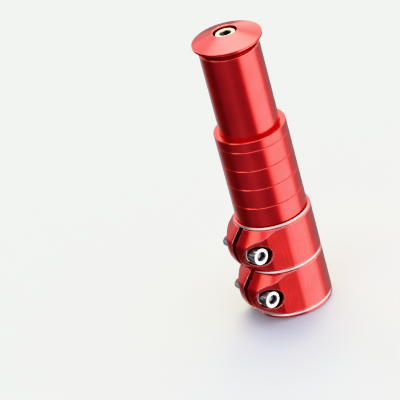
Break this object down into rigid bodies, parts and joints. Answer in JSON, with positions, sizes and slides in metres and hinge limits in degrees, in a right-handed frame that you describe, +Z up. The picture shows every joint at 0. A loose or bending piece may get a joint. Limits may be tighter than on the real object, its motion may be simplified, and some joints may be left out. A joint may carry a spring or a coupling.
{
  "type": "steerer riser with split clamp",
  "caption": "Steerer tube riser: a split double-band clamp with pinch bolts, a tube above it, loose spacer rings and a bolted top cap.",
  "frame": {"origin": "centre of the clamp's bottom face, on the steerer axis", "axes": "+Z up along the steerer axis, -Y towards the slot and the lugs, +X towards the pinch bolt heads"},
  "size_m": [0.0376, 0.0438, 0.1447],
  "materials": {
    "anodised_aluminium": "satin red anodised",
    "stainless_steel": "bright turned",
    "zinc_plated_steel": "zinc plated",
    "spring_steel": "bright spring steel"
  },
  "bodies": {
    "riser": {"riser_body": "anodised_aluminium", "star_core": "zinc_plated_steel", "star_flange_upper": "spring_steel", "star_flange_lower": "spring_steel"},
    "ring_1": {"spacer_1": "anodised_aluminium"},
    "ring_2": {"spacer_2": "anodised_aluminium"},
    "ring_3": {"spacer_3": "anodised_aluminium"},
    "ring_4": {"spacer_4": "anodised_aluminium"},
    "thin_ring": {"spacer_thin": "anodised_aluminium"},
    "cap": {"top_cap": "anodised_aluminium"},
    "cap_screw": {"cap_bolt": "stainless_steel"},
    "washer_upper": {"pinch_washer_upper": "stainless_steel"},
    "washer_lower": {"pinch_washer_lower": "stainless_steel"},
    "pinch_screw_upper": {"pinch_bolt_upper": "stainless_steel"},
    "pinch_screw_lower": {"pinch_bolt_lower": "stainless_steel"}
  },
  "joints": [
    {"name": "ring_1_slide", "type": "slide", "parent": "riser", "child": "ring_1", "axis": [0, 0, 1], "range_m": [0, 0.0089]},
    {"name": "ring_2_slide", "type": "slide", "parent": "ring_1", "child": "ring_2", "axis": [0, 0, 1], "range_m": [0, 0.0089]},
    {"name": "ring_3_slide", "type": "slide", "parent": "ring_2", "child": "ring_3", "axis": [0, 0, 1], "range_m": [0, 0.0089]},
    {"name": "ring_4_slide", "type": "slide", "parent": "ring_3", "child": "ring_4", "axis": [0, 0, 1], "range_m": [0, 0.0089]},
    {"name": "thin_ring_slide", "type": "slide", "parent": "ring_4", "child": "thin_ring", "axis": [0, 0, 1], "range_m": [0, 0.0089]},
    {"name": "cap_lift", "type": "slide", "parent": "riser", "child": "cap", "axis": [0, 0, 1], "range_m": [0, 0.014]},
    {"name": "cap_bolt_turn", "type": "hinge", "parent": "cap", "child": "cap_screw", "pos_m": [0, 0, 0.1377], "axis": [0, 0, 1], "range_deg": [0, 5040]},
    {"name": "pinch_upper_travel", "type": "slide", "parent": "riser", "child": "washer_upper", "axis": [1, 0, 0], "range_m": [0, 0.012]},
    {"name": "pinch_upper_turn", "type": "hinge", "parent": "washer_upper", "child": "pinch_screw_upper", "pos_m": [0.00525, -0.0193, 0.0375], "axis": [1, 0, 0], "range_deg": [0, 5400]},
    {"name": "pinch_lower_travel", "type": "slide", "parent": "riser", "child": "washer_lower", "axis": [1, 0, 0], "range_m": [0, 0.012]},
    {"name": "pinch_lower_turn", "type": "hinge", "parent": "washer_lower", "child": "pinch_screw_lower", "pos_m": [0.00525, -0.0193, 0.0135], "axis": [1, 0, 0], "range_deg": [0, 5400]}
  ],
  "couplings": [
    {"joint": "cap_bolt_turn", "follows": "cap_lift", "rad_per_m": 6283.2},
    {"joint": "pinch_upper_turn", "follows": "pinch_upper_travel", "rad_per_m": 7854},
    {"joint": "pinch_lower_turn", "follows": "pinch_lower_travel", "rad_per_m": 7854}
  ]
}
